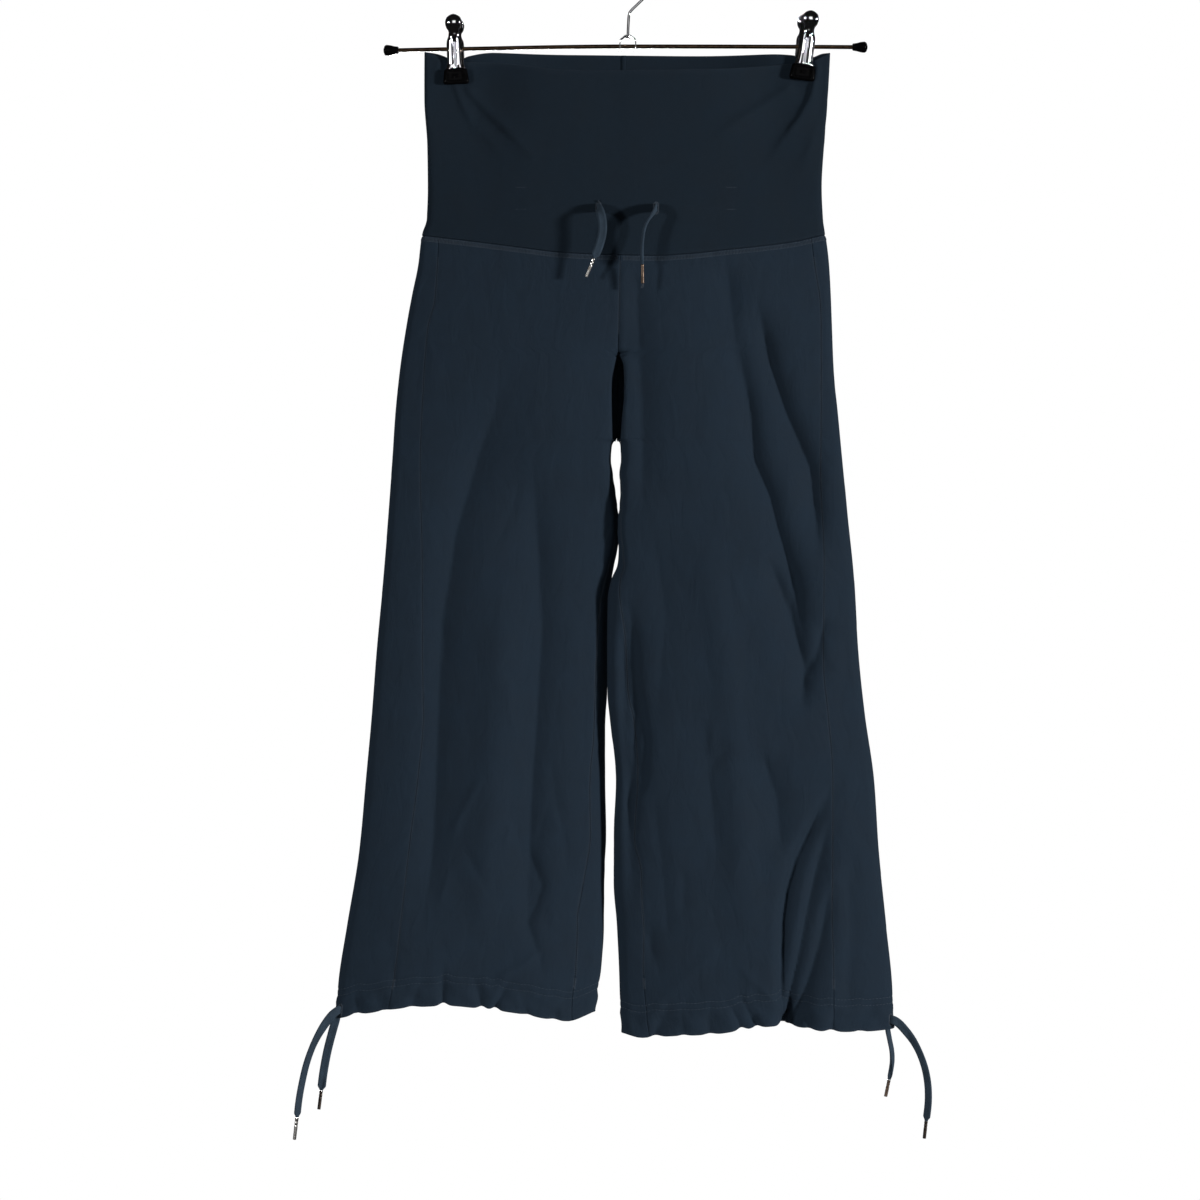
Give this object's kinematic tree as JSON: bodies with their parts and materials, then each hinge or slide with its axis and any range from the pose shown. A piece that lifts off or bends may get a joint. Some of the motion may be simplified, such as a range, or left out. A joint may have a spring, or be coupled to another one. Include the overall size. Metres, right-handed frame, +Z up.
{
  "type": "capri pants on a clip hanger",
  "caption": "Wide-leg knit capri pants with a high waistband and drawcords at waist and hems, hanging flat from the clips of a metal rod hanger with a wire hook.",
  "frame": {"origin": "where a rail bears inside the top of the hook, on the middle plane of the hanger", "axes": "+Z up along the hanging garment, front faces -Y, +X to the viewer's right along the hanger's rod"},
  "size_m": [0.5295, 0.0673, 0.9969],
  "materials": {
    "navy_knit": "matte brushed stretch knit",
    "navy_band": "matte smooth stretch knit, folded double",
    "navy_braid": "matte flat cotton braid",
    "chrome": "bright chrome plate",
    "dark_steel": "dark bronzed wire rod",
    "black_rubber": "dipped satin rubber",
    "aglet_steel": "rolled bright metal sleeve"
  },
  "bodies": {
    "root": {"waistband": "navy_band", "leg_left_front": "navy_knit", "leg_left_back": "navy_knit", "leg_right_front": "navy_knit", "leg_right_back": "navy_knit", "waist_cord_left": "navy_braid", "waist_cord_right": "navy_braid", "hem_cord_left_outer": "navy_braid", "hem_cord_left_inner": "navy_braid", "hem_cord_right_outer": "navy_braid", "hem_cord_right_inner": "navy_braid", "waist_cord_left_aglet": "aglet_steel", "waist_cord_right_aglet": "aglet_steel", "hem_cord_left_outer_aglet": "aglet_steel", "hem_cord_left_inner_aglet": "aglet_steel", "hem_cord_right_outer_aglet": "aglet_steel", "hem_cord_right_inner_aglet": "aglet_steel", "rod": "dark_steel", "rod_tip_left": "black_rubber", "rod_tip_right": "black_rubber", "saddle": "chrome", "hook": "chrome", "clip_left_front": "chrome", "clip_left_back": "chrome", "clip_right_front": "chrome", "clip_right_back": "chrome", "clip_left_pad_front": "black_rubber", "clip_left_pad_back": "black_rubber", "clip_right_pad_front": "black_rubber", "clip_right_pad_back": "black_rubber"}
  },
  "joints": []
}
